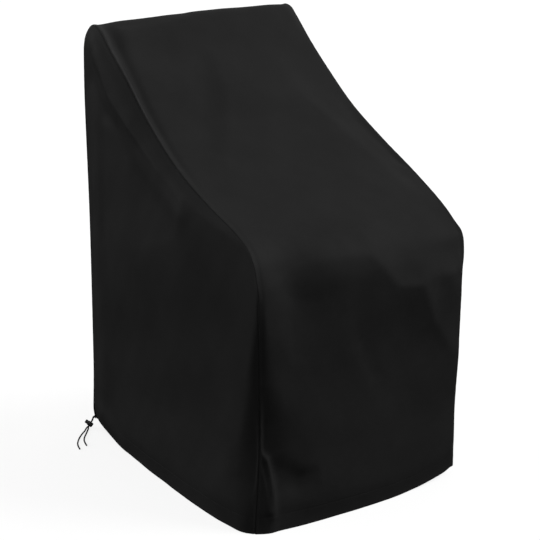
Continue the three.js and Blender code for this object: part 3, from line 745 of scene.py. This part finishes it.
def side_panel(side, hand):
    """A panel stretched between its front edge, its slope, its back edge and the bowed hem."""
    at, nose, roof, total = seams[side]
    front_run, slope_run, back_run = seam_runs(nose, roof, total)
    above, depth = np.array(casing).T
    depth = np.concatenate([depth, np.zeros(len(front_run))])
    front, slope = at(np.concatenate([above, front_run])), at(slope_run)
    back = at(np.concatenate([total - above, back_run]))
    foot, heel = at(np.array([0.0]))["point"][0], at(np.array([total]))["point"][0]
    nose_tip, roof_corner = slope["point"][0], slope["point"][-1]
    along = ((slope_run - nose) / (roof - nose))[:, None, None]
    up = (front["run"] / nose)[None, :, None]
    hem = blend(foot, heel, along)
    hem = hem + hand * bow(hem_bow[side], along) * (1, 0, 0)
    places = blend(hem, slope["point"][:, None], up)
    places = places + blend(front["point"][None], back["point"][None], along)
    places = places - blend(blend(foot, heel, along), blend(nose_tip, roof_corner, along), up)

    edges = at(np.concatenate([np.linspace(0, nose, 360), slope_run[1:-1], np.linspace(roof, total, 560)]))
    seam_away, rounding = np.empty(places.shape[:2]), np.empty(places.shape[:2])
    out = np.empty(places.shape)
    for i, row in enumerate(places):
        nearest = np.argmin(np.sum((row[:, None] - edges["point"][None]) ** 2, -1), 1)
        out[i] = outwards(edges["tangent"][nearest])
        seam_away[i] = np.abs(np.sum((edges["point"][nearest] - row) * out[i], 1))
        rounding[i] = edges["round"][nearest]
    free = 1 - fade(seam_away, SEAM_WIDE)
    y, z = places[..., 1].copy(), places[..., 2].copy()
    fold = free * (fold_height(side_folds[side], y, z) + UNEVEN * unevenness(y + 300 * hand, z))
    fold += DRAWN_IN * free * drawn_in(z)
    fold -= casing_groove["deep"] * hump(z - CASING_STITCH, casing_groove["wide"]) * (depth == 0)
    proud = edge(seam_away, rounding, SIDE_ROUND_WIDE)
    tucked = TUCKED * fade(seam_away, TUCKED_WIDE)
    places += out * (proud - tucked)[..., None]
    places[..., 0] += hand * (proud + fold - depth)
    places[..., 1] += CASING_CORNER * (depth / CASING_DEPTH) * (1 - 2 * along[..., 0])
    places = lifted(places)
    flat = np.stack([y, z - FLAT_TURN * depth], -1)
    # The side's seam edge and hem fold are worn paler. The same attribute also holds the strip's painted
    # highlight.
    rubbed = 0.6 * hump(seam_away - 1, 3) * (depth == 0)
    rubbed += HEM_RUBBED * hump(front["run"], HEM_RUBBED_WIDE)[None]
    if hand < 0:
        places, flat, rubbed = places[::-1], flat[::-1], rubbed[::-1]
    # Rows run from the hem up, as on the strip.
    places, flat, rubbed = (np.swapaxes(grid, 0, 1) for grid in (places, flat, rubbed))
    return np.ascontiguousarray(places), np.ascontiguousarray(flat), np.ascontiguousarray(rubbed)


side_places = {}
for side, hand in (("left", -1), ("right", 1)):
    side_places[side], flat, rubbed = side_panel(side, hand)
    panel = grid_piece(f"side_{side}_cloth", side_places[side], flat)
    finish_panel(panel, f"side_{side}", side_cloth, rubbed)


# Rows of lockstitch in black polyester thread hold the felled seams, 7 mm in from the strip's edges, and the
# casing along the hem. Each stitch is pulled a little way into the cloth.
STITCH_PITCH = 4
STITCH_SIZE = np.array([3.1, 0.45, 0.36])  # along the row, across it and out of the cloth
STITCH_STANDS = 0.05


def sewn(name, rows):
    """Stitches along the middle one of three lines of places, of which the third is on the first's left."""
    form = bmesh.new()
    bmesh.ops.create_uvsphere(form, u_segments=6, v_segments=4, radius=0.5)
    ball = np.array([vert.co for vert in form.verts]) * STITCH_SIZE
    faces = [[vert.index for vert in face.verts] for face in form.faces]
    form.free()
    balls = []
    for right_line, line, left_line in rows:
        lengths = run_lengths(line)
        along = np.arange(STITCH_PITCH, lengths[-1] - STITCH_PITCH, STITCH_PITCH)
        centre, way, aside = (
            np.stack([np.interp(along, lengths, values[:, k]) for k in range(3)], 1)
            for values in (line, np.gradient(line, axis=0), left_line - right_line)
        )
        way = unit(way)
        out = unit(np.cross(way, aside))
        axes = np.stack([way, np.cross(out, way), out], 1)
        balls.append((centre + STITCH_STANDS * out)[:, None] + ball @ axes)
    balls = np.concatenate(balls)
    starts = len(ball) * np.arange(len(balls))
    all_faces = [[start + k for k in face] for start in starts for face in faces]
    mesh = bpy.data.meshes.new(name)
    mesh.from_pydata(balls.reshape(-1, 3) * MM, [], all_faces)
    mesh.shade_smooth()
    mesh.materials.append(sewing_thread)
    piece = bpy.data.objects.new(name, mesh)
    bpy.context.scene.collection.objects.link(piece)
    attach(piece, "cover")


def polyester_thread(shade):
    place = shade.node("TexCoord", out="Object")
    filaments = shade.node("TexNoise", sockets={"Vector": place, "Scale": 6000, "Detail": 2})
    dust = shade.node("TexNoise", sockets={"Vector": place, "Scale": 90, "Detail": 3})
    colour = shade.node("Mix", {"data_type": "RGBA"}, {0: dust, 6: grey(0.007), 7: grey(0.013)}, out=2)
    normal = shade.node("Bump", sockets={"Height": filaments, "Strength": 0.4, "Distance": 0.00003})
    return colour, 0.55 + 0.15 * dust, normal


sewing_thread = finish_of("black_polyester_thread", polyester_thread, Specular_IOR_Level=0.1)
seam_column = near_sides.index(FELL_STITCH)
hem_row = len(casing) + near_hem.index(CASING_STITCH)
outside = strip_places[len(casing):-len(casing)]
strip_rows_sewn = [
    outside[:, [seam_column + 1, seam_column, seam_column - 1]].swapaxes(0, 1),
    outside[:, [-seam_column, -seam_column - 1, -seam_column - 2]].swapaxes(0, 1),
    strip_places[hem_row - 1:hem_row + 2, seam_column:-seam_column],
    strip_places[-hem_row - 2:-hem_row + 1, seam_column:-seam_column],
]
sewn("centre_strip_stitches", strip_rows_sewn)
for side, places in side_places.items():
    sewn(f"side_{side}_stitches", [places[hem_row - 1:hem_row + 2, 3:-3]])


# The floor is a wide sheet of pale paper. A large soft lamp stands high in front on the right and another
# behind on the left. The room above is pale and dim, so what faces between the two lamps stays dark.
floor_form = bmesh.new()
bmesh.ops.create_grid(floor_form, x_segments=1, y_segments=1, size=30)
floor_mesh = bpy.data.meshes.new("floor")
floor_form.to_mesh(floor_mesh)
floor_form.free()
floor = bpy.data.objects.new("floor", floor_mesh)
bpy.context.scene.collection.objects.link(floor)
floor.visible_diffuse = floor.visible_glossy = False


def pale_paper(shade):
    place = shade.node("TexCoord", out="Object")
    fibres = shade.node("TexNoise", sockets={"Vector": place, "Scale": 60, "Detail": 3})
    colour = shade.node("Mix", {"data_type": "RGBA"}, {0: fibres, 6: grey(0.16), 7: grey(0.18)}, out=2)
    normal = shade.node("Bump", sockets={"Height": fibres, "Strength": 0.2, "Distance": 0.0002})
    return colour, 0.9, normal


floor_mesh.materials.append(finish_of(
    "pale_paper", pale_paper, Specular_IOR_Level=0.0, Emission_Color=grey(1), Emission_Strength=0.84,
))


def soft_sun(name, azimuth, elevation, strength, breadth):
    """A soft light from that azimuth and elevation, in degrees, whose disc is breadth across."""
    data = bpy.data.lights.new(name, "SUN")
    data.energy, data.angle = strength, math.radians(breadth)
    lamp = bpy.data.objects.new(name, data)
    a, e = math.radians(azimuth), math.radians(elevation)
    towards = Vector((math.sin(a) * math.cos(e), -math.cos(a) * math.cos(e), math.sin(e)))
    lamp.rotation_euler = towards.to_track_quat("Z", "Y").to_euler()
    bpy.context.scene.collection.objects.link(lamp)


soft_sun("from the right", 58, 36, 2.9, 40)
soft_sun("from the left", -142, 16, 1.85, 40)

world = bpy.data.worlds.new("studio")
bpy.context.scene.world = world
world.use_nodes = True
world.node_tree.nodes.clear()
air = Shade(world.node_tree)
seen = air.node("LightPath", out="Is Camera Ray")
way = air.node("SeparateXYZ", sockets={0: air.node("TexCoord", out="Generated")}, out="Z")
above = air.node("MapRange", {"clamp": True}, {0: way, 1: -0.1, 2: 0.2, 3: 0, 4: 0.65})
glow = air.node("Background", sockets={"Color": grey(1), "Strength": above.maths("MAXIMUM", above, seen)})
air.node("OutputWorld", sockets={"Surface": glow})
bpy.context.scene.view_settings.view_transform = "Standard"
